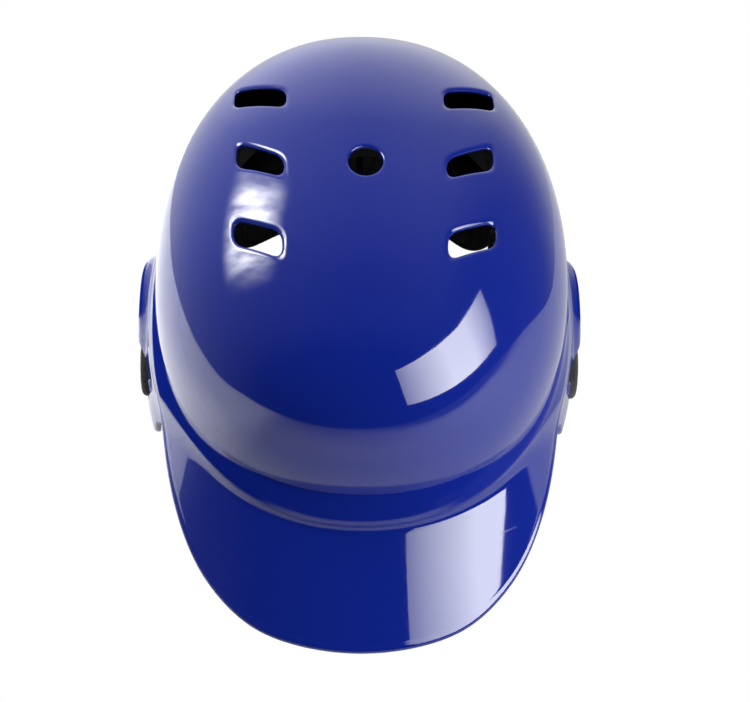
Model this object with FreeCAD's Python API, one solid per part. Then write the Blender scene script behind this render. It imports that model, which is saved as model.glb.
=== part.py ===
import FreeCAD, Part
import math
import os

os.makedirs("parts", exist_ok=True)

V = FreeCAD.Vector

# Batting helmet. Millimetres. +Z up, the brim points to -Y, the wearer's left ear is at +X.
# The shapes are built about the centre of the dome and moved to the resting point at the end.

# Crown: a dome with a slightly squared outline in plan and in profile
crown_half_width = 106.0
crown_front = 125.0
crown_rear = 132.0
crown_height = 113.0
plan_power = 2.17
profile_power = 2.18
crown_step = 3.0
wall = 3.0

# Lower skin: height, half width, front half length, rear half length
skin_levels = [
    (-118.0, 121.5, 120.0, 121.0),
    (-94.0, 121.5, 120.0, 120.0),
    (-76.0, 121.2, 120.0, 120.4),
    (-62.0, 119.8, 120.0, 122.2),
    (-48.0, 116.6, 120.0, 125.0),
    (-34.0, 114.2, 120.2, 127.2),
    (-20.0, 111.6, 121.0, 128.6),
    (-9.0, 107.6, 121.8, 129.2),
    (0.0, 104.4, 122.0, 129.3),
    (10.0, 103.0, 122.0, 129.2),
]
dome_angles = [12.0, 20.0, 29.0, 38.0, 47.0, 56.0, 65.0, 73.0, 80.0, 85.0, 88.4]

# Crown panel's lower edge in side view
crown_edge = [
    (-140.0, 17.5),
    (-124.0, 16.4),
    (-112.0, 13.8),
    (-93.0, 8.6),
    (-68.0, 6.4),
    (-40.0, 7.6),
    (0.0, 7.0),
    (45.0, 1.0),
    (95.0, -14.0),
    (150.0, -24.0),
]

# Shell's free edge in side view, from the brow round the flap to the nape
flap_bottom = -94.0
free_edge = [
    (-112.0, -9.0),
    (-100.0, -5.5),
    (-88.0, -9.5),
    (-79.0, -22.0),
    (-70.0, -37.0),
    (-56.0, -49.0),
    (-50.0, -62.0),
    (-47.5, -76.0),
    (-39.0, -89.0),
    (-25.0, flap_bottom),
]
flap_flat_rear = 30.0
nape_edge = [
    (flap_flat_rear, flap_bottom),
    (44.0, -92.8),
    (64.0, -87.4),
    (88.0, -84.2),
    (112.0, -84.0),
]

# Brim and ridge: plan angle, root height, edge point
brim_stations = [
    (0.0, -9.0, -13.0, (0.0, -185.4, -22.0)),
    (12.0, -8.4, -12.4, (31.5, -178.3, -25.2)),
    (20.0, -6.0, -10.4, (50.5, -167.5, -28.0)),
    (30.0, -2.5, -7.5, (69.0, -150.5, -31.8)),
    (38.0, -0.8, -6.5, (81.0, -129.5, -34.0)),
    (47.0, -1.2, -9.0, (92.0, -103.0, -33.5)),
    (58.0, -2.5, -18.0, (99.0, -72.0, -27.0)),
    (69.0, -5.0, -23.0, (104.0, -44.0, -21.5)),
    (80.0, -8.0, -21.0, (108.6, -20.0, -17.8)),
    (92.0, -11.0, -19.5, (110.8, 4.0, -16.0)),
    (106.0, -12.0, -18.5, (107.4, 32.0, -14.6)),
    (118.0, -12.0, -17.5, (96.0, 58.0, -13.6)),
]
brim_reach = 186.0
brim_thickness = 3.6
lip_radius = 2.0
root_fillet = 8.0

# Vents: inner and outer edges are parallel to the centre line
vent_inner_x = 38.0
vent_outer_x = 61.0
vent_outer_spans = [(-29.4, -18.5), (10.9, 24.7), (54.6, 69.9)]
vent_inner_spans = [(-42.2, -30.9), (-1.8, 8.5), (42.4, 54.3)]
vent_bevel = 1.4
vent_corner = 3.0
top_hole_radius = 9.0
top_hole_y = 3.1
edge_round = 1.0

# Ear openings and the raised collar behind each
ear_y = -13.0
ear_z = -60.0
ear_hole_radius = 21.0
collar_y = 4.0
collar_z = -58.0
collar_radius = 37.0
collar_crown_radius = 24.0
collar_reach = 120.6
collar_tilt = 5.0
snap_y = -37.0
snap_z = -42.0
snap_radius = 3.2
snap_reach = 111.5

# Foam pads: name, angles from and to, heights from and to
foam_gap = 0.3
foam_thickness = 20.0
pad_gap = 4.0
centre_pads = [("forehead_pad", -36.0, 36.0, -3.0, 44.0)]
side_pads = [
    ("temple_pad", 36.0, 78.0, -3.0, 54.0),
    ("side_pad", 78.0, 126.0, -20.0, 58.0),
    ("rear_pad", 126.0, 180.0, -6.0, 60.0),
    ("nape_pad", 132.0, 180.0, -81.0, -10.0),
    ("flap_pad", 98.0, 132.0, -84.0, -24.0),
]
crown_pad_half_width = 31.0
crown_pad_front = -64.0
crown_pad_rear = 74.0
crown_pad_hole = 15.0
crown_pad_corner = 14.0
ear_pad_radius = 30.0
ear_pad_inner_x = 82.0
ear_pad_opening = 12.0
ear_pad_reach = 120.8
ear_pad_gap = 0.5
ear_pad_round = 5.0

# The resting point: middle of the length and width, under the flaps
origin_shift = V(0.0, (brim_reach - crown_rear) / 2.0, -flap_bottom)


def plan_point(angle, half_width, front, rear, z):
    """Point of a squared ellipse; the angle is counted from the front towards +X."""
    s = math.sin(math.radians(angle))
    c = math.cos(math.radians(angle))
    length = front if c > 0 else rear
    x = half_width * math.copysign(abs(s) ** (2.0 / plan_power), s)
    y = -length * math.copysign(abs(c) ** (2.0 / plan_power), c)
    return V(x, y, z)


def ring(half_width, front, rear, z):
    """Closed smooth section wire at one height."""
    points = []
    for k in range(32):
        points.append(plan_point(180.0 + k * 360.0 / 32, half_width, front, rear, z))
    curve = Part.BSplineCurve()
    curve.interpolate(points, PeriodicFlag=True)
    return Part.Wire([curve.toShape()])


def dome_size(angle, offset):
    """Half width, lengths and height of the dome at one profile angle."""
    s = math.cos(math.radians(angle)) ** (2.0 / profile_power)
    h = math.sin(math.radians(angle)) ** (2.0 / profile_power)
    return (
        (crown_half_width - offset) * s,
        (crown_front - offset) * s,
        (crown_rear - offset) * s,
        (crown_height - offset) * h,
    )


def crown_form(offset):
    """Solid dome, a given distance inside the crown panel's outer face."""
    rings = []
    for z in (-45.0, -30.0, -15.0, 0.0):
        size = dome_size(0.0, offset)
        rings.append(ring(size[0], size[1], size[2], z))
    for angle in dome_angles:
        size = dome_size(angle, offset)
        rings.append(ring(size[0], size[1], size[2], size[3]))
    return Part.makeLoft(rings, True, False)


def skin_form(offset):
    """Solid of the whole head form, a given distance inside the lower outer skin."""
    rings = []
    for z, half_width, front, rear in skin_levels:
        rings.append(ring(half_width - offset, front - offset, rear - offset, z))
    for angle in dome_angles[1:]:
        size = dome_size(angle, crown_step + offset)
        rings.append(ring(size[0], size[1], size[2], size[3]))
    return Part.makeLoft(rings, True, False)


def side_prism(line, far_z):
    """Block across the full width, between a side view line and a level far from it."""
    points = [V(-200.0, y, z) for y, z in line]
    curve = Part.BSplineCurve()
    curve.interpolate(points)
    corners = [points[-1], V(-200.0, points[-1].y, far_z), V(-200.0, points[0].y, far_z), points[0]]
    edges = [curve.toShape()]
    for a, b in zip(corners, corners[1:]):
        edges.append(Part.makeLine(a, b))
    return Part.Face(Part.Wire(edges)).extrude(V(400.0, 0.0, 0.0))


def head_form(offset, edge_drop):
    """Lower skin with the crown panel standing out over it."""
    lowered = [(y, z - edge_drop) for y, z in crown_edge]
    above = side_prism(lowered, 200.0)
    panel = crown_form(offset).common(above)
    return skin_form(offset).fuse(panel)


def trim_block():
    """Everything below and in front of the shell's free edge."""
    front = Part.BSplineCurve()
    front.interpolate([V(-200.0, y, z) for y, z in free_edge])
    rear = Part.BSplineCurve()
    rear.interpolate([V(-200.0, y, z) for y, z in nape_edge])
    a = V(-200.0, free_edge[0][0], free_edge[0][1])
    b = V(-200.0, free_edge[-1][0], free_edge[-1][1])
    c = V(-200.0, nape_edge[0][0], nape_edge[0][1])
    d = V(-200.0, nape_edge[-1][0], nape_edge[-1][1])
    corners = [d, V(-200.0, 200.0, d.z), V(-200.0, 200.0, -160.0), V(-200.0, -220.0, -160.0), V(-200.0, -220.0, a.z), a]
    edges = [front.toShape(), Part.makeLine(b, c), rear.toShape()]
    for p, q in zip(corners, corners[1:]):
        edges.append(Part.makeLine(p, q))
    return Part.Face(Part.Wire(edges)).extrude(V(400.0, 0.0, 0.0))


def brim_profile(angle, root_z, under_z, tip):
    """Section of the brim: cove at the root, sloping top, rounded lip, underside."""
    root = plan_point(angle, skin_levels[8][1], skin_levels[8][2], skin_levels[8][3], root_z)
    edge = V(*tip)
    out = V(edge.x - root.x, edge.y - root.y, 0.0)
    reach = out.Length
    out.normalize()
    up = V(0.0, 0.0, 1.0)
    slope = (root_z - edge.z) / reach
    cove = min(root_fillet, 0.3 * reach)
    lip = min(2.2 * lip_radius, 0.3 * reach)
    inside = V(root.x, root.y, 0.0) - out * (wall * 0.7)
    high = root + up * (cove * 0.9)
    along = out - up * slope
    cove_end = root + along * cove
    lip_start = edge - along * lip
    lip_low = edge - out * (lip * 0.45) - up * brim_thickness
    inner_high = V(inside.x, inside.y, high.z)
    inner_low = V(inside.x, inside.y, under_z)
    root_curve = Part.BezierCurve()
    root_curve.setPoles([high, root, cove_end])
    rise = edge - out * (lip * 0.35) + up * (lip_radius * 0.9)
    drop = edge + out * (lip * 0.55) - up * (lip_radius * 0.2)
    turn = edge + out * (lip * 0.3) - up * (brim_thickness * 1.1)
    lip_curve = Part.BezierCurve()
    lip_curve.setPoles([lip_start, lip_start + along * (lip * 0.35), rise, drop, turn, lip_low])
    edges = [
        root_curve.toShape(),
        Part.makeLine(cove_end, lip_start),
        lip_curve.toShape(),
        Part.makeLine(lip_low, inner_low),
        Part.makeLine(inner_low, inner_high),
        Part.makeLine(inner_high, high),
    ]
    return Part.Wire(edges)


def brim_half(side):
    """Brim and ridge from the centre line round one temple."""
    wires = []
    for angle, root_z, under_z, tip in brim_stations:
        wires.append(brim_profile(angle * side, root_z, under_z, (tip[0] * side, tip[1], tip[2])))
    return wires


def brim():
    """Brim and ridge from temple to temple."""
    right = brim_half(-1.0)[::-1]
    left = brim_half(1.0)[1:]
    return Part.makeLoft(right + left, True, False)


def rounded_outline(corners, radius):
    """Flat closed wire through the corners, each with an arc."""
    count = len(corners)
    edges = []
    ends = []
    for k in range(count):
        before = corners[k - 1]
        here = corners[k]
        after = corners[(k + 1) % count]
        to_before = (before - here).normalize()
        to_after = (after - here).normalize()
        half = to_before.getAngle(to_after) / 2.0
        run = radius / math.tan(half)
        bisector = (to_before + to_after).normalize()
        start = here + to_before * run
        finish = here + to_after * run
        middle = here + bisector * (radius / math.sin(half) - radius)
        edges.append(Part.Arc(start, middle, finish).toShape())
        ends.append((start, finish))
    wires = []
    for k in range(count):
        wires.append(edges[k])
        wires.append(Part.makeLine(ends[k][1], ends[(k + 1) % count][0]))
    return Part.Wire(wires)


def vent_cutter(side, outer_span, inner_span, grow, radius):
    """Upright block with the vent's slanted outline."""
    slant = (outer_span[0] - inner_span[0]) / (vent_outer_x - vent_inner_x)
    inner_x = vent_inner_x - grow
    outer_x = vent_outer_x + grow
    stretch = grow * math.sqrt(1.0 + slant * slant)
    corners = [
        V(side * inner_x, inner_span[0] - stretch - grow * slant, 60.0),
        V(side * outer_x, outer_span[0] - stretch + grow * slant, 60.0),
        V(side * outer_x, outer_span[1] + stretch + grow * slant, 60.0),
        V(side * inner_x, inner_span[1] + stretch - grow * slant, 60.0),
    ]
    return Part.Face(rounded_outline(corners, radius)).extrude(V(0.0, 0.0, 80.0))


def vent_cutters(side, grow, radius):
    """The three vents of one side."""
    blocks = []
    for outer_span, inner_span in zip(vent_outer_spans, vent_inner_spans):
        blocks.append(vent_cutter(side, outer_span, inner_span, grow, radius))
    return blocks


def across(side, y, z, radius, from_x, to_x):
    """Round bar along X."""
    return Part.makeCylinder(radius, to_x - from_x, V(side * from_x, y, z), V(side, 0.0, 0.0))


def collar(side):
    """Raised dished disc behind the ear hole, leaning with the flap."""
    drop = collar_reach - 6.0
    profile = Part.BezierCurve()
    profile.setPoles([
        V(drop, collar_radius, 0.0),
        V(collar_reach - 1.5, collar_radius - 4.0, 0.0),
        V(collar_reach, collar_crown_radius + 3.0, 0.0),
        V(collar_reach, collar_crown_radius, 0.0),
    ])
    corners = [V(collar_reach, collar_crown_radius, 0.0), V(collar_reach, 0.0, 0.0), V(90.0, 0.0, 0.0)]
    corners = corners + [V(90.0, collar_radius, 0.0), V(drop, collar_radius, 0.0)]
    edges = [profile.toShape()]
    for a, b in zip(corners, corners[1:]):
        edges.append(Part.makeLine(a, b))
    disc = Part.Face(Part.Wire(edges)).revolve(V(0.0, 0.0, 0.0), V(1.0, 0.0, 0.0), 360.0)
    disc.rotate(V(collar_reach, 0.0, 0.0), V(0.0, 1.0, 0.0), -collar_tilt)
    disc.translate(V(0.0, collar_y, collar_z))
    return disc if side > 0 else disc.mirror(V(0.0, 0.0, 0.0), V(1.0, 0.0, 0.0))


def shell():
    """Crown, band, brim, ridge, flaps and nape in one moulding."""
    body = head_form(0.0, 0.0)
    for side in (-1.0, 1.0):
        body = body.fuse(collar(side))
        body = body.fuse(across(side, snap_y, snap_z, snap_radius, 100.0, snap_reach))
    body = body.cut(trim_block())
    body = body.fuse(brim())
    body = body.cut(head_form(wall, -wall))
    for side in (-1.0, 1.0):
        for block in vent_cutters(side, -vent_bevel, vent_corner - vent_bevel):
            body = body.cut(block)
        body = body.cut(across(side, ear_y, ear_z, ear_hole_radius, 90.0, 140.0))
    hole = Part.makeCylinder(top_hole_radius - edge_round, 60.0, V(0.0, top_hole_y, 80.0))
    return body.cut(hole)


def lining():
    """Foam layer all over the inside of the shell."""
    outer = head_form(wall + foam_gap, -wall - foam_gap)
    return outer.cut(skin_form(wall + foam_gap + foam_thickness))


def sector(from_angle, to_angle, z_low, z_high):
    """Upright sector block with half a pad gap off each side; angles from the front towards +X."""
    near = 20.0
    far = 300.0
    a = math.radians(from_angle)
    b = math.radians(to_angle)
    shift_a = V(math.cos(a), math.sin(a), 0.0) * (pad_gap / 2.0)
    shift_b = V(-math.cos(b), -math.sin(b), 0.0) * (pad_gap / 2.0)
    lift = V(0.0, 0.0, z_low)
    start = V(math.sin(a), -math.cos(a), 0.0)
    finish = V(math.sin(b), -math.cos(b), 0.0)
    middle = (start + finish).normalize()
    corners = [
        start * near + shift_a + lift,
        start * far + shift_a + lift,
        middle * far * 1.2 + lift,
        finish * far + shift_b + lift,
        finish * near + shift_b + lift,
    ]
    return Part.Face(Part.makePolygon(corners + corners[:1])).extrude(V(0.0, 0.0, z_high - z_low))


def crown_pad(layer):
    """Long pad between the rows of vents, with an opening under the top hole."""
    corners = [
        V(-crown_pad_half_width, crown_pad_front, 60.0),
        V(crown_pad_half_width, crown_pad_front, 60.0),
        V(crown_pad_half_width, crown_pad_rear, 60.0),
        V(-crown_pad_half_width, crown_pad_rear, 60.0),
    ]
    block = Part.Face(rounded_outline(corners, crown_pad_corner)).extrude(V(0.0, 0.0, 70.0))
    hole = Part.makeCylinder(crown_pad_hole, 80.0, V(0.0, top_hole_y, 50.0))
    return layer.common(block).cut(hole)


def ear_pad(side):
    """Thick round pad inside the flap, with a neck that swells out through the ear hole."""
    inside = head_form(wall + foam_gap, -wall - foam_gap)
    pad = across(side, ear_y, ear_z, ear_pad_radius, ear_pad_inner_x, 140.0).common(inside)
    neck = across(side, ear_y, ear_z, ear_hole_radius - ear_pad_gap, ear_pad_inner_x + 10.0, ear_pad_reach)
    rim = [e for e in neck.Edges if abs(abs(e.CenterOfMass.x) - ear_pad_reach) < 0.1 and len(e.Vertexes) == 1]
    neck = neck.makeFillet(ear_pad_round, rim)
    return pad.fuse(neck).cut(across(side, ear_y, ear_z, ear_pad_opening, 60.0, 140.0))


def save(name, shape):
    """Move a finished piece to the resting point and write it."""
    shape.translate(origin_shift)
    shape.exportStep("parts/" + name + ".step")


layer = lining()
save("shell", shell())
for name, from_angle, to_angle, z_low, z_high in centre_pads:
    save(name, layer.common(sector(from_angle, to_angle, z_low, z_high)))
save("crown_pad", crown_pad(layer))
for hand, side in (("left", 1.0), ("right", -1.0)):
    for name, from_angle, to_angle, z_low, z_high in side_pads:
        angles = sorted([from_angle * side, to_angle * side])
        pad = layer.common(sector(angles[0], angles[1], z_low, z_high))
        if name == "flap_pad":
            pad = pad.cut(across(side, ear_y, ear_z, ear_pad_radius + pad_gap, 60.0, 140.0))
        save(hand + "_" + name, pad)
    save(hand + "_ear_pad", ear_pad(side))
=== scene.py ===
import math

import bpy
import numpy as np
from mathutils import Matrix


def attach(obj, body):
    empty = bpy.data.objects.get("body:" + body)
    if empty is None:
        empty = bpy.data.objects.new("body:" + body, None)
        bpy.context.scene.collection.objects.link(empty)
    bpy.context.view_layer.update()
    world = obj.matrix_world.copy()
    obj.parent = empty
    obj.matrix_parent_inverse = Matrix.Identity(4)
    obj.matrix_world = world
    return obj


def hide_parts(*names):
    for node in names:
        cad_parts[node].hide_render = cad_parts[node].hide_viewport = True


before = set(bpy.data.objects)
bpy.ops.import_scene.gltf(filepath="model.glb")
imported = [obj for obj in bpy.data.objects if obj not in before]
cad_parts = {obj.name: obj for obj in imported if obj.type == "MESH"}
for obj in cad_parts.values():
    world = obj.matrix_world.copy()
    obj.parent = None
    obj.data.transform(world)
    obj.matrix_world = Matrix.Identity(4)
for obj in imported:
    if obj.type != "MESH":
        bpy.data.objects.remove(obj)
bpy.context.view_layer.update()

import openvdb
from mathutils import Matrix, Vector

# The helmet is worked out in millimetres about the centre of its dome, as in the CAD source,
# with +X at the wearer's left ear and the brim at -Y. The row frame has its origin on the
# ground, under the middle of the CAD part, whose brim reaches brim_reach. The vents, the lower
# skin's flare and the brim's slope are this file's own and differ from the CAD part.
crown_half_width = 106.0
crown_front = 125.0
crown_rear = 132.0
crown_height = 113.0
plan_power = 2.17
profile_power = 2.18
crown_step = 3.0
wall = 3.0
brim_reach = 186.0
flap_bottom = -94.0
centre = Vector((0.0, (brim_reach - crown_rear) / 2000.0, -flap_bottom / 1000.0))

# Lower skin: height, and how far it stands out past the crown's inner line at side, front, rear
flare_heights = [-118.0, -94.0, -76.0, -62.0, -48.0, -34.0, -20.0, -9.0, -3.0, 1.0, 5.0, 10.0, 17.0, 30.0]
flare_side = [15.6, 15.4, 15.2, 14.4, 13.0, 11.2, 8.6, 5.8, 4.4, 3.6, 2.5, 1.2, 0.0, 0.0]
flare_front = [-2.0, -2.0, -2.0, -2.0, -2.0, 2.0, 9.0, 11.3, 11.2, 10.6, 8.3, 5.0, 0.0, 0.0]
flare_rear = [-8.0, -9.0, -8.6, -6.8, -4.0, -1.8, -0.4, 0.2, 0.3, 0.3, 0.3, 0.2, 0.1, 0.0]
root_level = 8
ridge_end_reach = 60.0
ridge_end_z = -13.0

crown_edge_y = [-140.0, -124.0, -112.0, -93.0, -68.0, -40.0, 0.0, 45.0, 95.0, 150.0]
crown_edge_z = [17.5, 16.4, 13.8, 8.6, 6.4, 7.6, 7.0, 1.0, -14.0, -24.0]

# Free edge in side view, from the brow round the flap to the nape
free_edge = [
    (-112.0, -12.0), (-100.0, -11.0), (-88.0, -13.5), (-79.0, -22.0), (-70.0, -37.0),
    (-56.0, -49.0), (-50.0, -62.0), (-47.5, -76.0), (-39.0, -89.0), (-25.0, flap_bottom),
]
nape_edge = [(30.0, flap_bottom), (44.0, -92.8), (64.0, -87.4), (88.0, -84.2), (112.0, -84.0)]

# Brim and ridge: plan angle of the root, root height, underside height, edge point
brim_stations = [
    (0.0, -4.2, -11.0, (0.0, -183.6, -38.2)),
    (12.0, -4.2, -11.0, (32.6, -179.0, -38.6)),
    (20.0, -4.4, -11.2, (51.4, -171.0, -39.2)),
    (30.0, -4.6, -11.6, (69.5, -155.2, -38.6)),
    (38.0, -4.8, -11.4, (80.5, -140.0, -36.6)),
    (47.0, -5.2, -12.5, (91.5, -115.0, -30.0)),
    (58.0, -10.0, -19.0, (100.5, -74.0, -26.0)),
    (69.0, -13.0, -24.0, (105.0, -44.0, -21.0)),
    (80.0, -12.5, -22.0, (109.0, -20.0, -17.8)),
    (92.0, -12.0, -20.0, (111.0, 4.0, -16.0)),
    (106.0, -12.0, -18.5, (107.4, 32.0, -14.6)),
    (118.0, -12.0, -17.5, (96.0, 58.0, -13.6)),
]
brim_thickness = 3.6
lip_radius = 2.0
root_blend = 3.0
brim_centre_y = 5.0

# Vents, front to rear: outer edge's x, its front and rear ends, the inner edge's front and rear ends
vent_inner_x = 38.0
vents = [
    (61.0, -30.6, -18.5, -43.2, -30.9),
    (61.0, 10.3, 24.7, -2.4, 8.5),
    (64.0, 52.4, 68.8, 40.2, 53.2),
]
vent_inset = 0.3
vent_corner = 5.0
vent_bevel = 2.6
top_hole_radius = 7.9
top_hole_y = 3.1

ear_y = -14.0
ear_z = -61.0
ear_hole_radius = 18.5
collar_y = 12.0
collar_z = -57.0
collar_radius = 37.0
collar_reach = 120.2
collar_tilt = math.radians(3.0)
collar_shoulder = 15.0
snap_y = -37.0
snap_z = -42.0
snap_radius = 3.2
snap_rise = 0.7

foam_gap = 0.3
foam_thickness = 20.0
neck_foam_thickness = 30.0
pad_gap = 4.0
centre_pads = [("forehead_pad", -36.0, 36.0, -3.0, 44.0, foam_thickness)]
side_pads = [
    ("temple_pad", 36.0, 78.0, -3.0, 54.0, foam_thickness),
    ("side_pad", 78.0, 126.0, -20.0, 58.0, foam_thickness),
    ("rear_pad", 126.0, 180.0, -6.0, 60.0, foam_thickness),
    ("nape_pad", 132.0, 180.0, -81.0, -10.0, neck_foam_thickness),
    ("flap_pad", 98.0, 132.0, -84.0, -24.0, neck_foam_thickness),
]
crown_pad_half_width = 31.0
crown_pad_front = -64.0
crown_pad_rear = 74.0
crown_pad_hole = 15.0
crown_pad_corner = 14.0
ear_pad_radius = 30.0
ear_pad_inner_x = 82.0
ear_pad_opening = 12.0
ear_pad_reach = 121.6
ear_pad_gap = 0.5
seam_inset = 6.5
seam_width = 1.6
seam_depth = 2.2


# ---------------------------------------------------------------- curves and blends

def spline(knots, values):
    """Natural cubic spline through the values, straight past its ends."""
    x = np.asarray(knots, float)
    y = np.asarray(values, float)
    h = np.diff(x)
    n = len(x)
    matrix = np.eye(n)
    right = np.zeros(n)
    for i in range(1, n - 1):
        matrix[i, i - 1:i + 2] = (h[i - 1], 2.0 * (h[i - 1] + h[i]), h[i])
        right[i] = 6.0 * ((y[i + 1] - y[i]) / h[i] - (y[i] - y[i - 1]) / h[i - 1])
    bend = np.linalg.solve(matrix, right)

    def at(t):
        t = np.asarray(t)
        inside = np.clip(t, x[0], x[-1])
        i = np.clip(np.searchsorted(x, inside) - 1, 0, n - 2)
        a = (x[i + 1] - inside) / h[i]
        b = 1.0 - a
        value = a * y[i] + b * y[i + 1]
        value += ((a ** 3 - a) * bend[i] + (b ** 3 - b) * bend[i + 1]) * h[i] ** 2 / 6.0
        first = (y[1] - y[0]) / h[0] - bend[1] * h[0] / 6.0
        last = (y[-1] - y[-2]) / h[-1] + bend[-2] * h[-1] / 6.0
        return value + np.minimum(t - x[0], 0.0) * first + np.maximum(t - x[-1], 0.0) * last

    return at


def even_spline(knots, values):
    """Spline of a positive variable that starts level at zero."""
    both = [-k for k in knots[:0:-1]] + list(knots)
    return spline(both, list(values[:0:-1]) + list(values))


def meet(a, b, blend):
    """Common part of two solids, with the edge rounded."""
    mix = np.maximum(blend - np.abs(a - b), 0.0) / blend
    return np.maximum(a, b) + mix * mix * blend * 0.25


def join(a, b, blend):
    """Sum of two solids, with the corner filled."""
    return -meet(-a, -b, blend)


# ---------------------------------------------------------------- forms of the helmet

side_flare = spline(flare_heights, flare_side)
front_flare = spline(flare_heights, flare_front)
rear_flare = spline(flare_heights, flare_rear)
crown_edge = spline(crown_edge_y, crown_edge_z)


def squared_dome(x, y, z, half_width, front, rear, height):
    """About the distance to a squared dome on an upright squared wall."""
    length = np.where(y < 0.0, front, rear)
    plan = (x / half_width) ** plan_power + (np.abs(y) / length) ** plan_power
    plan = plan ** (1.0 / plan_power)
    up = np.maximum(z, 0.0)
    size = (plan ** profile_power + (up / height) ** profile_power) ** (1.0 / profile_power)
    reach = np.sqrt(x * x + y * y + up * up)
    return reach - reach / np.maximum(size, 1e-3)


def crown(x, y, z, inset):
    """Crown dome, inset from its outer face."""
    return squared_dome(
        x, y, z, crown_half_width - inset, crown_front - inset, crown_rear - inset, crown_height - inset
    )


def skin(x, y, z, inset):
    """Lower skin, with the dome that it would have under the crown."""
    inset = inset + crown_step
    return squared_dome(
        x, y, z,
        crown_half_width - inset + side_flare(z),
        crown_front - inset + front_flare(z),
        crown_rear - inset + rear_flare(z),
        crown_height - inset,
    )


def cavity(x, y, z, inset):
    """Inside of the shell, with the step under the crown's edge."""
    panel = meet(crown(x, y, z, inset), crown_edge(y) + inset - z, 1.5)
    return join(skin(x, y, z, inset), panel, 2.0)


def edge_table():
    """Signed distance to the free edge in side view, below and in front being positive."""
    fy = spline(range(len(free_edge)), [p[0] for p in free_edge])
    fz = spline(range(len(free_edge)), [p[1] for p in free_edge])
    ny = spline(range(len(nape_edge)), [p[0] for p in nape_edge])
    nz = spline(range(len(nape_edge)), [p[1] for p in nape_edge])
    t = np.linspace(0.0, len(free_edge) - 1.0, 160)
    s = np.linspace(0.0, len(nape_edge) - 1.0, 80)
    py = np.concatenate([[-260.0], fy(t), ny(s), [260.0]])
    pz = np.concatenate([[free_edge[0][1]], fz(t), nz(s), [nape_edge[-1][1]]])
    gy, gz = np.meshgrid(edge_grid_y, edge_grid_z, indexing="ij")
    best = np.full(gy.shape, 1e9)
    side = np.zeros(gy.shape)
    for k in range(len(py) - 1):
        ay, az = py[k], pz[k]
        dy, dz = py[k + 1] - ay, pz[k + 1] - az
        length2 = max(dy * dy + dz * dz, 1e-9)
        along = np.clip(((gy - ay) * dy + (gz - az) * dz) / length2, 0.0, 1.0)
        away = np.hypot(gy - ay - along * dy, gz - az - along * dz)
        turn = dy * (gz - az) - dz * (gy - ay)
        closer = away < best - 1e-9
        best = np.where(closer, away, best)
        side = np.where(closer, np.sign(turn), side)
    return best * -side


edge_step = 0.5
edge_grid_y = np.arange(-150.0, 150.0, edge_step)
edge_grid_z = np.arange(-112.0, 22.0, edge_step)
edge_values = edge_table()


def past_free_edge(y, z):
    """Distance past the free edge, from the table."""
    i = np.clip((y - edge_grid_y[0]) / edge_step, 0.0, len(edge_grid_y) - 1.001)
    j = np.clip((z - edge_grid_z[0]) / edge_step, 0.0, len(edge_grid_z) - 1.001)
    i0 = i.astype(int)
    j0 = j.astype(int)
    u = i - i0
    v = j - j0
    low = edge_values[i0, j0] * (1.0 - v) + edge_values[i0, j0 + 1] * v
    high = edge_values[i0 + 1, j0] * (1.0 - v) + edge_values[i0 + 1, j0 + 1] * v
    return low * (1.0 - u) + high * u


def brim_curves():
    """Splines in polar form about a point on the centre line: root and edge."""
    root_angle, root_reach, root_z, under_z = [], [], [], []
    edge_angle, edge_reach, edge_z = [], [], []
    for angle, top, under, tip in brim_stations:
        s = math.sin(math.radians(angle))
        c = math.cos(math.radians(angle))
        length = crown_front + flare_front[root_level] if c > 0 else crown_rear + flare_rear[root_level]
        length = length - crown_step
        px = (crown_half_width - crown_step + flare_side[root_level]) * abs(s) ** (2.0 / plan_power)
        py = -length * math.copysign(abs(c) ** (2.0 / plan_power), c) - brim_centre_y
        root_angle.append(math.atan2(px, -py))
        root_reach.append(math.hypot(px, py))
        root_z.append(top)
        under_z.append(under)
        edge_angle.append(math.atan2(tip[0], brim_centre_y - tip[1]))
        edge_reach.append(math.hypot(tip[0], brim_centre_y - tip[1]))
        edge_z.append(tip[2])
    edge_angle.append(math.pi)
    edge_reach.append(ridge_end_reach)
    edge_z.append(ridge_end_z)
    return (
        even_spline(root_angle, root_reach), even_spline(root_angle, root_z),
        even_spline(root_angle, under_z), even_spline(edge_angle, edge_reach),
        even_spline(edge_angle, edge_z),
    )


root_reach_at, root_z_at, under_z_at, edge_reach_at, edge_z_at = brim_curves()


def brim(x, y, z):
    """Arched plate with a rounded, raised lip that runs on as the ridge."""
    back = y - brim_centre_y
    angle = np.arctan2(x, -back)
    reach = np.sqrt(x * x + back * back)
    r0 = root_reach_at(angle)
    r1 = edge_reach_at(angle)
    z0 = root_z_at(angle)
    z1 = edge_z_at(angle)
    span = np.maximum(r1 - r0, 3.0)
    slope = (z1 - z0) / span
    lean = 1.0 / np.sqrt(1.0 + slope * slope)
    turn = (edge_reach_at(angle + 0.01) - r1) / 0.01 / r1
    skew = 1.0 / np.sqrt(1.0 + turn * turn)
    part = np.clip((reach - r0) / span, -0.3, 1.3)
    top = z0 + (z1 - z0) * part
    under_start = under_z_at(angle)
    under = under_start + (z1 - brim_thickness - under_start) * part
    plate = meet((z - top) * lean, (under - z) * lean, 1.5)
    plate = meet(plate, (reach - r1) * skew, 2.5)
    bead = np.hypot((reach - r1 + lip_radius * 0.8) * skew, z - z1 + lip_radius * 0.75) - lip_radius
    return join(plate, bead, 1.6)


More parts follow.
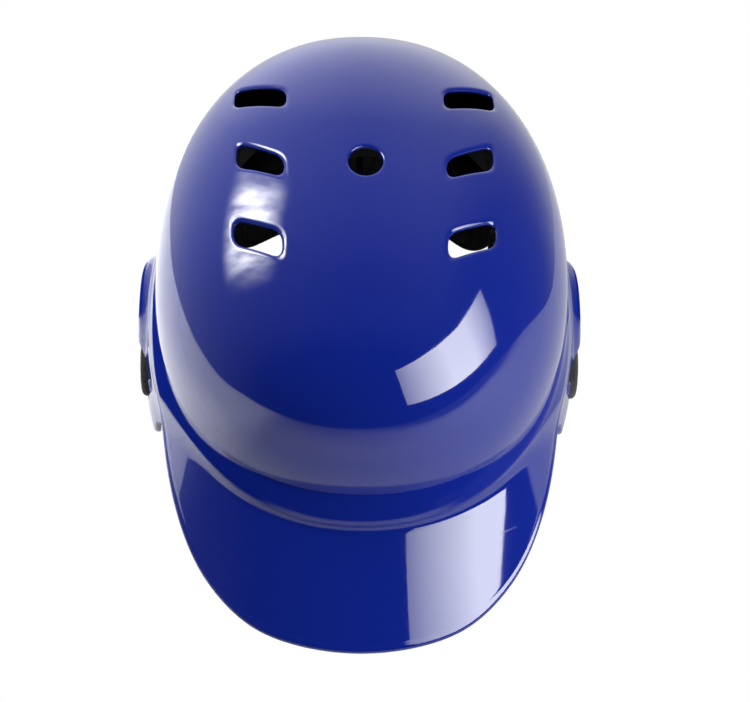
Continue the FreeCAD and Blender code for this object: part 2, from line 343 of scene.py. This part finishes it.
def vent(x, y, outer_x, outer_front, outer_rear, inner_front, inner_rear):
    """Slanted outline with rounded corners, seen from above."""
    across = (x - vent_inner_x) / (outer_x - vent_inner_x)
    slant = (outer_front - inner_front) / (outer_x - vent_inner_x)
    lean = 1.0 / math.sqrt(1.0 + slant * slant)
    front = (inner_front + (outer_front - inner_front) * across - y) * lean
    rear = (y - inner_rear - (outer_rear - inner_rear) * across) * lean
    ends = np.maximum(vent_inner_x - x, x - outer_x)
    return meet(np.maximum(front, rear), ends, vent_corner) + vent_inset


def collar(x, y, z):
    """Dished disc round and behind the ear hole."""
    out = (x - collar_reach) * math.cos(collar_tilt) + (z - collar_z) * math.sin(collar_tilt)
    up = (z - collar_z) * math.cos(collar_tilt) - (x - collar_reach) * math.sin(collar_tilt)
    radius = np.sqrt((y - collar_y) ** 2 + up * up)
    return meet(out, radius - collar_radius, collar_shoulder)


def shell(x, y, z):
    """The whole moulding."""
    x = np.abs(x)
    low = skin(x, y, z, 0.0)
    from_ear = np.sqrt((y - ear_y) ** 2 + (z - ear_z) ** 2)
    from_snap = np.sqrt((y - snap_y) ** 2 + (z - snap_z) ** 2)
    snap = meet(from_snap - snap_radius, low - snap_rise, 0.8)
    low = join(low, collar(x, y, z), 3.0)
    low = join(low, snap, 0.4)
    low = meet(low, past_free_edge(y, z), 1.6)
    low = join(low, brim(x, y, z), root_blend)
    panel = meet(crown(x, y, z, 0.0), crown_edge(y) - z, 1.3)
    body = join(low, panel, 0.9)
    body = meet(body, -cavity(x, y, z, wall), 1.4)
    for opening in vents:
        body = meet(body, -vent(x, y, *opening), vent_bevel)
    body = meet(body, -(from_ear - ear_hole_radius), 2.0)
    from_top = np.sqrt(x * x + (y - top_hole_y) ** 2)
    return meet(body, top_hole_radius - from_top, 2.0)


def ease(value, low, high):
    """Smooth step from 0 at low to 1 at high."""
    t = np.clip((value - low) / (high - low), 0.0, 1.0)
    return t * t * (3.0 - 2.0 * t)


def painted_valley_shade(x, y, z):
    """Painted shade: 1 in the side valleys under the crown and on the collars' shoulders, where the
    shell's gloss is dimmed to stand for the shade there, else 0.
    """
    back = y - brim_centre_y
    angle = np.arctan2(np.abs(x), -back)
    reach = np.hypot(x, back)
    r0 = root_reach_at(angle)
    span = np.maximum(edge_reach_at(angle) - r0, 3.0)
    part = np.clip((reach - r0) / span, 0.0, 1.0)
    top = root_z_at(angle) + (edge_z_at(angle) - root_z_at(angle)) * part
    under_crown = ease(crown_edge(y) - z, 0.3, 1.2)
    over_brim = ease(z - top, 3.0, 5.5)
    at_side = ease(angle, math.radians(13.0), math.radians(22.0))
    before_flap = 1.0 - ease(angle, math.radians(92.0), math.radians(112.0))
    valley = under_crown * over_brim * at_side * before_flap * np.where(x < 0.0, 1.0, 0.95)
    shoulder = ease(np.abs(x), 113.5, 116.5) * ease(z, -62.0, -48.0) * ease(y, -10.0, 0.0)
    return np.maximum(valley, shoulder)


# ---------------------------------------------------------------- meshes from the forms

def slope_of(field, points):
    """Gradient of a field at the points."""
    reach = 0.04
    out = np.empty_like(points)
    for axis in range(3):
        step = np.zeros(3)
        step[axis] = reach
        high = field(*(points + step).T)
        low = field(*(points - step).T)
        out[:, axis] = (high - low) / (2.0 * reach)
    return out


def mesh_of(name, field, low, high, step):
    """Closed quad mesh of the field's zero, drawn onto it, with the field's own normals."""
    block = 32
    grid = openvdb.FloatGrid(50.0)
    start = np.floor(np.array(low) / step).astype(int)
    stop = np.ceil(np.array(high) / step).astype(int)
    half = step * block * 0.5
    for i in range(start[0], stop[0], block):
        for j in range(start[1], stop[1], block):
            for k in range(start[2], stop[2], block):
                x = (i + np.arange(block)).reshape(-1, 1, 1) * step
                y = (j + np.arange(block)).reshape(1, -1, 1) * step
                z = (k + np.arange(block)).reshape(1, 1, -1) * step
                middle = field(
                    np.array([x.mean()]), np.array([y.mean()]), np.array([z.mean()])
                )[0]
                if middle > half * 2.6:
                    continue
                values = field(x, y, z).astype(np.float32)
                grid.copyFromArray(np.ascontiguousarray(values), ijk=(int(i), int(j), int(k)))
    points, quads = grid.convertToQuads(isovalue=0.0)
    points = points.astype(float) * step
    for _ in range(3):
        slope = slope_of(field, points)
        size2 = np.maximum((slope ** 2).sum(1), 0.05)
        move = field(*points.T) / size2
        points -= np.clip(move, -step, step)[:, None] * slope
    normals = slope_of(field, points)
    normals /= np.linalg.norm(normals, axis=1)[:, None]
    mesh = bpy.data.meshes.new(name)
    count = len(points)
    mesh.vertices.add(count)
    mesh.vertices.foreach_set("co", (points / 1000.0 + np.array(centre)).astype(np.float32).ravel())
    a, b, c = (points[quads[:, n]] for n in range(3))
    facing = (np.cross(b - a, c - a) * normals[quads[:, 0]]).sum(1)
    if np.median(facing) < 0.0:
        quads = quads[:, ::-1]
    mesh.loops.add(quads.size)
    mesh.loops.foreach_set("vertex_index", quads.astype(np.int32).ravel())
    mesh.polygons.add(len(quads))
    mesh.polygons.foreach_set("loop_start", np.arange(0, quads.size, 4, dtype=np.int32))
    mesh.update(calc_edges=True)
    mesh.validate()
    mesh.shade_smooth()
    mesh.normals_split_custom_set_from_vertices(normals)
    # The shell carries the painted shade mask, which dims its gloss in the valleys under the crown and on
    # the collars' shoulders.
    if field is shell:
        layer = mesh.attributes.new("painted_valley_shade", "FLOAT", "POINT")
        layer.data.foreach_set("value", painted_valley_shade(*points.T).astype(np.float32))
    piece = bpy.data.objects.new(name, mesh)
    bpy.context.scene.collection.objects.link(piece)
    return piece


# ---------------------------------------------------------------- foam pads

def between_angles(x, y, from_angle, to_angle):
    """Distance outside an upright sector, with half a pad gap off each side."""
    a = math.radians(from_angle)
    b = math.radians(to_angle)
    past_a = -(x * math.cos(a) + y * math.sin(a)) + pad_gap / 2.0
    past_b = x * math.cos(b) + y * math.sin(b) + pad_gap / 2.0
    return meet(past_a, past_b, 6.0)


def sewn(body, outline, x, y, z):
    """Pad face with a pressed seam inside its border and the uneven swell of soft foam."""
    swell = np.sin(0.11 * x + 0.3) * np.sin(0.09 * y + 0.4) * np.sin(0.10 * z)
    seam = np.exp(-((outline + seam_inset) / seam_width) ** 2)
    return body + seam_depth * seam + 0.5 * swell


def wall_pad(side, from_angle, to_angle, z_low, z_high, thickness, clear_of_ear):
    """Field of a pad that lines the side of the shell."""

    def field(x, y, z):
        back = cavity(np.abs(x), y, z, wall + foam_gap)
        face = -skin(np.abs(x), y, z, wall + foam_gap + thickness)
        sides = between_angles(x * side, y, from_angle, to_angle)
        ends = np.maximum(z_low - z, z - z_high)
        outline = meet(sides, ends, 14.0)
        if clear_of_ear:
            from_ear = np.sqrt((y - ear_y) ** 2 + (z - ear_z) ** 2)
            outline = meet(outline, ear_pad_radius + pad_gap - from_ear, 6.0)
        crowned = meet(outline, face, 16.0)
        return meet(sewn(crowned, outline, x, y, z), back, 1.5)

    return field


def crown_pad(x, y, z):
    """Field of the long pad between the vents, open under the top hole."""
    x = np.abs(x)
    back = cavity(x, y, z, wall + foam_gap)
    face = -skin(x, y, z, wall + foam_gap + foam_thickness)
    ends = np.maximum(crown_pad_front - y, y - crown_pad_rear)
    outline = meet(x - crown_pad_half_width, ends, crown_pad_corner * 1.6)
    outline = meet(outline, 60.0 - z, 4.0)
    hole = crown_pad_hole - np.sqrt(x * x + (y - top_hole_y) ** 2)
    outline = meet(outline, hole, 2.0)
    return meet(sewn(meet(outline, face, 14.0), outline, x, y, z), back, 1.5)


def ear_pad(side):
    """Field of the thick pad round the ear, swelling out through the ear hole."""

    def field(x, y, z):
        x = x * side
        from_ear = np.sqrt((y - ear_y) ** 2 + (z - ear_z) ** 2)
        inside = cavity(np.abs(x), y, z, wall + foam_gap)
        disc = meet(from_ear - ear_pad_radius, ear_pad_inner_x - x, 14.0)
        disc = meet(disc, inside, 1.5)
        neck = meet(from_ear - ear_hole_radius + ear_pad_gap, ear_pad_inner_x + 10.0 - x, 2.0)
        neck = meet(neck, x - ear_pad_reach, 7.0)
        body = join(disc, neck, 0.5)
        return meet(body, ear_pad_opening - from_ear, 9.0)

    return field


# ---------------------------------------------------------------- materials

class Nodes:
    """Short hand for building a material's node tree."""

    def __init__(self, name):
        self.material = bpy.data.materials.new(name)
        self.material.use_nodes = True
        self.tree = self.material.node_tree
        self.shader = self.tree.nodes["Principled BSDF"]

    def add(self, kind, **settings):
        node = self.tree.nodes.new(kind)
        for key, value in settings.items():
            if hasattr(node, key):
                setattr(node, key, value)
            else:
                node.inputs[key.replace("_", " ")].default_value = value
        return node

    def link(self, out, into):
        self.tree.links.new(out, into)

    def set(self, **values):
        for key, value in values.items():
            self.shader.inputs[key.replace("_", " ")].default_value = value


deep_blue = (0.0024, 0.0085, 0.122, 1.0)
rubbed_blue = (0.020, 0.034, 0.20, 1.0)


def gloss_blue():
    """Dark blue moulded plastic with a high polish, fine scratches and a slight orange peel, its gloss
    dimmed by painted shade in the valleys under the crown and on the collars' shoulders.
    """
    n = Nodes("gloss_blue_plastic")
    n.set(Base_Color=deep_blue, Roughness=0.07, IOR=1.5)
    place = n.add("ShaderNodeTexCoord")
    stretch = n.add("ShaderNodeMapping")
    stretch.inputs["Scale"].default_value = (260.0, 30.0, 60.0)
    stretch.inputs["Rotation"].default_value = (0.3, 0.5, 0.7)
    n.link(place.outputs["Object"], stretch.inputs["Vector"])
    scratch = n.add("ShaderNodeTexNoise", Scale=9.0, Detail=3.0, Roughness=0.6)
    n.link(stretch.outputs["Vector"], scratch.inputs["Vector"])
    wear = n.add("ShaderNodeTexNoise", Scale=14.0, Detail=4.0, Roughness=0.55)
    n.link(place.outputs["Object"], wear.inputs["Vector"])
    rough = n.add("ShaderNodeMapRange")
    rough.inputs["From Min"].default_value = 0.45
    rough.inputs["From Max"].default_value = 0.75
    rough.inputs["To Min"].default_value = 0.03
    rough.inputs["To Max"].default_value = 0.09
    n.link(wear.outputs["Fac"], rough.inputs["Value"])
    hair = n.add("ShaderNodeTexVoronoi", feature="DISTANCE_TO_EDGE", Scale=26.0)
    n.link(place.outputs["Object"], hair.inputs["Vector"])
    thin = n.add("ShaderNodeMapRange")
    thin.inputs["From Min"].default_value = 0.004
    thin.inputs["From Max"].default_value = 0.010
    thin.inputs["To Min"].default_value = 1.0
    thin.inputs["To Max"].default_value = 0.0
    n.link(hair.outputs["Distance"], thin.inputs["Value"])
    where = n.add("ShaderNodeTexNoise", Scale=31.0, Detail=2.0)
    n.link(place.outputs["Object"], where.inputs["Vector"])
    seldom = n.add("ShaderNodeMapRange")
    seldom.inputs["From Min"].default_value = 0.60
    seldom.inputs["From Max"].default_value = 0.66
    seldom.inputs["To Max"].default_value = 0.10
    n.link(where.outputs["Fac"], seldom.inputs["Value"])
    hairline = n.add("ShaderNodeMath", operation="MULTIPLY")
    n.link(thin.outputs["Result"], hairline.inputs[0])
    n.link(seldom.outputs["Result"], hairline.inputs[1])
    bend = n.add("ShaderNodeNewGeometry")
    edge = n.add("ShaderNodeMapRange")
    edge.inputs["From Min"].default_value = 0.53
    edge.inputs["From Max"].default_value = 0.60
    n.link(bend.outputs["Pointiness"], edge.inputs["Value"])
    rubbed = n.add("ShaderNodeMath", operation="MULTIPLY")
    n.link(edge.outputs["Result"], rubbed.inputs[0])
    n.link(seldom.outputs["Result"], rubbed.inputs[1])
    marks = n.add("ShaderNodeMath", operation="ADD")
    n.link(hairline.outputs["Value"], marks.inputs[0])
    n.link(rubbed.outputs["Value"], marks.inputs[1])
    total = n.add("ShaderNodeMath", operation="ADD", use_clamp=True)
    n.link(marks.outputs["Value"], total.inputs[0])
    n.link(rough.outputs["Result"], total.inputs[1])
    n.link(total.outputs["Value"], n.shader.inputs["Roughness"])
    tone = n.add("ShaderNodeMix", data_type="RGBA")
    tone.inputs["A"].default_value = deep_blue
    tone.inputs["B"].default_value = rubbed_blue
    n.link(rubbed.outputs["Value"], tone.inputs["Factor"])
    n.link(tone.outputs["Result"], n.shader.inputs["Base Color"])
    lines = n.add("ShaderNodeMapRange")
    lines.inputs["From Min"].default_value = 0.66
    lines.inputs["From Max"].default_value = 0.72
    n.link(scratch.outputs["Fac"], lines.inputs["Value"])
    bump = n.add("ShaderNodeBump", Strength=0.05, Distance=0.00004)
    n.link(lines.outputs["Result"], bump.inputs["Height"])
    peel = n.add("ShaderNodeTexNoise", Scale=95.0, Detail=1.0, Roughness=0.4)
    n.link(place.outputs["Object"], peel.inputs["Vector"])
    waves = n.add("ShaderNodeBump", Strength=0.06, Distance=0.0003)
    n.link(peel.outputs["Fac"], waves.inputs["Height"])
    n.link(bump.outputs["Normal"], waves.inputs["Normal"])
    n.link(waves.outputs["Normal"], n.shader.inputs["Normal"])
    # Painted shade: the valleys under the crown and the collars' shoulders lose most of their gloss,
    # standing for the shade that falls there.
    shade_attribute = n.add("ShaderNodeAttribute")
    shade_attribute.attribute_name = "painted_valley_shade"
    gloss = n.add("ShaderNodeMapRange")
    gloss.inputs["To Min"].default_value = 0.5
    gloss.inputs["To Max"].default_value = 0.0
    n.link(shade_attribute.outputs["Fac"], gloss.inputs["Value"])
    n.link(gloss.outputs["Result"], n.shader.inputs["Specular IOR Level"])
    return n.material


def plush_black():
    """Black brushed fabric over foam."""
    n = Nodes("plush_black_fabric")
    n.set(Base_Color=(0.010, 0.010, 0.011, 1.0), Roughness=0.95, Sheen_Weight=0.12, Sheen_Roughness=0.5)
    place = n.add("ShaderNodeTexCoord")
    fuzz = n.add("ShaderNodeTexNoise", Scale=1600.0, Detail=3.0, Roughness=0.7)
    n.link(place.outputs["Object"], fuzz.inputs["Vector"])
    clump = n.add("ShaderNodeTexNoise", Scale=260.0, Detail=3.0, Roughness=0.6)
    n.link(place.outputs["Object"], clump.inputs["Vector"])
    total = n.add("ShaderNodeMath", operation="ADD")
    n.link(fuzz.outputs["Fac"], total.inputs[0])
    n.link(clump.outputs["Fac"], total.inputs[1])
    bump = n.add("ShaderNodeBump", Strength=0.9, Distance=0.0006)
    n.link(total.outputs["Value"], bump.inputs["Height"])
    n.link(bump.outputs["Normal"], n.shader.inputs["Normal"])
    shade = n.add("ShaderNodeValToRGB")
    shade.color_ramp.elements[0].position = 0.35
    shade.color_ramp.elements[0].color = (0.004, 0.004, 0.005, 1.0)
    shade.color_ramp.elements[1].position = 0.75
    shade.color_ramp.elements[1].color = (0.022, 0.022, 0.024, 1.0)
    n.link(clump.outputs["Fac"], shade.inputs["Fac"])
    n.link(shade.outputs["Color"], n.shader.inputs["Base Color"])
    return n.material


# ---------------------------------------------------------------- the pieces

blue = gloss_blue()
black = plush_black()

shell_step = 0.7
pad_step = 1.4
reach = 130.0


def place(piece, node, material, slot):
    """A finished piece stands for its CAD node and rides with it."""
    piece.data.materials.append(material)
    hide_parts(node)
    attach(piece, "root")


def place_pad(node, field, low, high):
    pad = mesh_of(node + "_foam", field, low, high, pad_step)
    place(pad, node, black, "foam")


moulding = mesh_of("shell_moulding", shell, (-reach, -195.0, -100.0), (reach, 140.0, 118.0), shell_step)
place(moulding, "shell", blue, "shell")

for name, from_angle, to_angle, z_low, z_high, thickness in centre_pads:
    field = wall_pad(1.0, from_angle, to_angle, z_low, z_high, thickness, False)
    place_pad(name, field, (-reach, -140.0, z_low - 8.0), (reach, 0.0, z_high + 8.0))
place_pad("crown_pad", crown_pad, (-50.0, -80.0, 40.0), (50.0, 90.0, 118.0))
for hand, side in (("left", 1.0), ("right", -1.0)):
    near, far = sorted((0.0, side * reach))
    for name, from_angle, to_angle, z_low, z_high, thickness in side_pads:
        field = wall_pad(side, from_angle, to_angle, z_low, z_high, thickness, name == "flap_pad")
        low = (near - 4.0, -120.0, z_low - 8.0)
        high = (far + 4.0, 140.0, z_high + 8.0)
        place_pad(hand + "_" + name, field, low, high)
    place_pad(hand + "_ear_pad", ear_pad(side), (near, -60.0, -100.0), (far, 30.0, -20.0))


# ---------------------------------------------------------------- floor, light and camera

camera_distance = 0.9
camera_lens = 83.0
camera_tilt = 30.0
camera_lean = -1.0
camera_drop = -2.1
camera_aside = -0.45
fill_power = 14.0
fill_width = 1.2
fill_distance = 1.4
fill_elevation = 52.0

# The table's outline: how far it reaches, in metres, at each bearing from the front in degrees
table_reach = [
    (-180.0, 0.25), (-132.0, 0.26), (-116.0, 0.31), (-95.0, 0.42), (-80.0, 0.49),
    (-66.0, 0.51), (-50.0, 0.62), (-30.0, 0.80), (0.0, 1.05), (30.0, 1.5),
    (60.0, 1.8), (80.0, 1.1), (95.0, 0.5), (115.0, 0.30), (180.0, 0.25),
]

# The room's brightness from front to back, and from right to left
room_depth = [
    (0.0, 0.006), (0.20, 0.010), (0.35, 0.07), (0.5, 0.15),
    (0.72, 0.28), (0.88, 0.45), (0.95, 0.75), (1.0, 0.9),
]
room_width = [
    (0.0, 0.9), (0.2, 0.85), (0.35, 0.68), (0.5, 0.56),
    (0.7, 0.68), (0.8, 0.62), (0.92, 0.22), (1.0, 0.16),
]
room_strength = 3.2


def floor():
    """White table top, far reaching in front and to the right, with painted shade: its colour greys
    towards the front right, where only reflections and bounced light see it.
    """
    bearings, reaches = zip(*table_reach)
    outline = spline(list(bearings), list(reaches))
    corners = []
    for k in range(360):
        bearing = k - 180.0
        a = math.radians(bearing)
        reach_there = float(outline(bearing))
        corners.append((reach_there * math.sin(a), -reach_there * math.cos(a), 0.0))
    mesh = bpy.data.meshes.new("table_top")
    mesh.from_pydata(corners, [], [list(range(len(corners)))])
    ground = bpy.data.objects.new("table_top", mesh)
    bpy.context.scene.collection.objects.link(ground)
    material = bpy.data.materials.new("white_ground_painted_shade")
    material.use_nodes = True
    tree = material.node_tree
    diffuse = tree.nodes["Principled BSDF"]
    # Painted shade: the table's colour falls from white to grey towards the front right; camera rays
    # still get plain white.
    where = tree.nodes.new("ShaderNodeTexCoord")
    toward = tree.nodes.new("ShaderNodeVectorMath")
    toward.operation = "DOT_PRODUCT"
    toward.inputs[1].default_value = (0.85, -0.5, 0.0)
    tree.links.new(where.outputs["Object"], toward.inputs[0])
    shade = tree.nodes.new("ShaderNodeMapRange")
    shade.interpolation_type = "SMOOTHSTEP"
    shade.inputs["From Min"].default_value = -0.16
    shade.inputs["From Max"].default_value = -0.04
    shade.inputs["To Min"].default_value = 1.0
    shade.inputs["To Max"].default_value = 0.42
    tree.links.new(toward.outputs["Value"], shade.inputs["Value"])
    tree.links.new(shade.outputs["Result"], diffuse.inputs["Base Color"])
    diffuse.inputs["Roughness"].default_value = 0.9
    glow = tree.nodes.new("ShaderNodeEmission")
    glow.inputs["Color"].default_value = (1.0, 1.0, 1.0, 1.0)
    glow.inputs["Strength"].default_value = 1.0
    path = tree.nodes.new("ShaderNodeLightPath")
    mix = tree.nodes.new("ShaderNodeMixShader")
    tree.links.new(path.outputs["Is Camera Ray"], mix.inputs["Fac"])
    tree.links.new(diffuse.outputs["BSDF"], mix.inputs[1])
    tree.links.new(glow.outputs["Emission"], mix.inputs[2])
    clear = tree.nodes.new("ShaderNodeBsdfTransparent")
    face = tree.nodes.new("ShaderNodeNewGeometry")
    from_below = tree.nodes.new("ShaderNodeMixShader")
    tree.links.new(face.outputs["Backfacing"], from_below.inputs["Fac"])
    tree.links.new(mix.outputs["Shader"], from_below.inputs[1])
    tree.links.new(clear.outputs["BSDF"], from_below.inputs[2])
    tree.links.new(from_below.outputs["Shader"], tree.nodes["Material Output"].inputs["Surface"])
    ground.data.materials.append(material)


def room_ramp(tree, axis, stops):
    """Grey ramp along one of the room's axes."""
    along = tree.nodes.new("ShaderNodeMapRange")
    along.inputs["From Min"].default_value = -1.0
    ramp = tree.nodes.new("ShaderNodeValToRGB")
    for at, level in stops[1:-1]:
        ramp.color_ramp.elements.new(at)
    for element, (at, level) in zip(ramp.color_ramp.elements, stops):
        element.position = at
        element.color = (level, level, level, 1.0)
    tree.links.new(axis, along.inputs["Value"])
    tree.links.new(along.outputs["Result"], ramp.inputs["Fac"])
    return ramp.outputs["Color"]


def sky():
    """Room round the table: pale behind the helmet, dim overhead, dark in front."""
    world = bpy.data.worlds.new("studio")
    bpy.context.scene.world = world
    world.use_nodes = True
    tree = world.node_tree
    place = tree.nodes.new("ShaderNodeTexCoord")
    split = tree.nodes.new("ShaderNodeSeparateXYZ")
    tree.links.new(place.outputs["Generated"], split.inputs["Vector"])
    depth = room_ramp(tree, split.outputs["Y"], room_depth)
    width = room_ramp(tree, split.outputs["X"], room_width)
    room = tree.nodes["Background"]
    both = tree.nodes.new("ShaderNodeVectorMath")
    both.operation = "MULTIPLY"
    tree.links.new(depth, both.inputs[0])
    tree.links.new(width, both.inputs[1])
    tree.links.new(both.outputs["Vector"], room.inputs["Color"])
    room.inputs["Strength"].default_value = room_strength
    paper = tree.nodes.new("ShaderNodeBackground")
    paper.inputs["Color"].default_value = (1.0, 1.0, 1.0, 1.0)
    path = tree.nodes.new("ShaderNodeLightPath")
    mix = tree.nodes.new("ShaderNodeMixShader")
    tree.links.new(path.outputs["Is Camera Ray"], mix.inputs["Fac"])
    tree.links.new(room.outputs["Background"], mix.inputs[1])
    tree.links.new(paper.outputs["Background"], mix.inputs[2])
    tree.links.new(mix.outputs["Shader"], tree.nodes["World Output"].inputs["Surface"])


def soft_box(name, spot, azimuth, elevation, roll, distance, width, height, soft, folds, levels):
    """Soft box aimed at a spot on the dome, with its brightness levels spread across it."""
    data = bpy.data.lights.new(name, "AREA")
    data.shape = "RECTANGLE"
    data.size = width
    data.size_y = height
    data.energy = math.pi * width * height
    data.use_nodes = True
    tree = data.node_tree
    glow = tree.nodes["Emission"]
    across = tree.nodes.new("ShaderNodeNewGeometry")
    split = tree.nodes.new("ShaderNodeSeparateXYZ")
    tree.links.new(across.outputs["Parametric"], split.inputs["Vector"])
    ramp = tree.nodes.new("ShaderNodeValToRGB")
    top = max(levels)
    for k in range(1, len(levels) - 1):
        ramp.color_ramp.elements.new(k / (len(levels) - 1.0))
    for k, level in enumerate(levels):
        ramp.color_ramp.elements[k].color = (level / top, level / top, level / top, 1.0)
    tree.links.new(split.outputs["X"], ramp.inputs["Fac"])
    tree.links.new(ramp.outputs["Color"], glow.inputs["Color"])
    strength = tree.nodes.new("ShaderNodeValue")
    strength.outputs["Value"].default_value = top
    total = strength.outputs["Value"]
    if soft > 0.0:
        for axis in ("X", "Y"):
            for sign in (1.0, -1.0):
                fade = tree.nodes.new("ShaderNodeMapRange")
                fade.interpolation_type = "SMOOTHERSTEP"
                fade.inputs["From Min"].default_value = 0.5 - 0.5 * sign
                fade.inputs["From Max"].default_value = 0.5 - (0.5 - soft) * sign
                tree.links.new(split.outputs[axis], fade.inputs["Value"])
                times = tree.nodes.new("ShaderNodeMath")
                times.operation = "MULTIPLY"
                tree.links.new(total, times.inputs[0])
                tree.links.new(fade.outputs["Result"], times.inputs[1])
                total = times.outputs["Value"]
    if folds > 0.0:
        drape = tree.nodes.new("ShaderNodeMapping")
        drape.inputs["Scale"].default_value = (7.0, 1.6, 1.0)
        drape.inputs["Rotation"].default_value = (0.0, 0.0, 0.35)
        cloth = tree.nodes.new("ShaderNodeTexNoise")
        cloth.inputs["Scale"].default_value = 1.3
        cloth.inputs["Detail"].default_value = 3.0
        dim = tree.nodes.new("ShaderNodeMapRange")
        dim.inputs["From Min"].default_value = 0.35
        dim.inputs["From Max"].default_value = 0.62
        dim.inputs["To Min"].default_value = 1.0 - folds
        shaded = tree.nodes.new("ShaderNodeMath")
        shaded.operation = "MULTIPLY"
        tree.links.new(across.outputs["Parametric"], drape.inputs["Vector"])
        tree.links.new(drape.outputs["Vector"], cloth.inputs["Vector"])
        tree.links.new(cloth.outputs["Fac"], dim.inputs["Value"])
        tree.links.new(dim.outputs["Result"], shaded.inputs[0])
        tree.links.new(total, shaded.inputs[1])
        total = shaded.outputs["Value"]
    tree.links.new(total, glow.inputs["Strength"])
    lamp = bpy.data.objects.new(name, data)
    a = math.radians(azimuth)
    e = math.radians(elevation)
    away = Vector((math.sin(a) * math.cos(e), -math.cos(a) * math.cos(e), math.sin(e)))
    aim = away.to_track_quat("Z", "Y").to_matrix() @ Matrix.Rotation(math.radians(roll), 3, "Z")
    lamp.matrix_world = Matrix.Translation(centre + Vector(spot) + away * distance) @ aim.to_4x4()
    bpy.context.scene.collection.objects.link(lamp)


def fill_light():
    """Wide soft light from behind and above, that lifts the colour but leaves no mirror image."""
    data = bpy.data.lights.new("fill_light", "AREA")
    data.shape = "DISK"
    data.size = fill_width
    data.energy = fill_power
    lamp = bpy.data.objects.new("fill_light", data)
    e = math.radians(fill_elevation)
    away = Vector((0.0, math.cos(e), math.sin(e)))
    aim = away.to_track_quat("Z", "Y").to_matrix()
    lamp.matrix_world = Matrix.Translation(centre + away * fill_distance) @ aim.to_4x4()
    lamp.visible_glossy = False
    bpy.context.scene.collection.objects.link(lamp)


def camera():
    """In front and high over the helmet, which stands a little below the middle of the view."""
    lean = Matrix.Rotation(math.radians(camera_lean), 3, "Y")
    tilt = Matrix.Rotation(math.radians(camera_tilt), 3, "X")
    turn = lean @ tilt
    drop = Matrix.Rotation(math.radians(camera_drop), 3, "X")
    aside = Matrix.Rotation(math.radians(camera_aside), 3, "Y")
    pan = drop @ aside
    data = bpy.data.cameras.new("camera")
    data.sensor_width = 36.0
    data.lens = camera_lens
    data.clip_end = 100.0
    eye = bpy.data.objects.new("camera", data)
    place = centre + turn @ Vector((0.0, 0.0, camera_distance))
    eye.matrix_world = Matrix.Translation(place) @ (turn @ pan).to_4x4()
    bpy.context.scene.collection.objects.link(eye)
    bpy.context.scene.camera = eye


floor()
sky()
soft_box(
    "right_soft_box", spot=(0.0, 0.0, 0.0), azimuth=50.0, elevation=25.0, roll=-8.0, distance=0.8,
    width=0.84, height=0.42, soft=0.0, folds=0.0, levels=[4.0, 10.0, 16.0, 15.0, 4.0],
)
soft_box(
    "left_soft_box", spot=(-0.055, -0.01, 0.08), azimuth=-109.0, elevation=33.0, roll=0.0, distance=0.7,
    width=0.66, height=0.58, soft=0.45, folds=0.7, levels=[34.0, 34.0],
)
fill_light()
camera()
bpy.context.scene.view_settings.view_transform = "Standard"
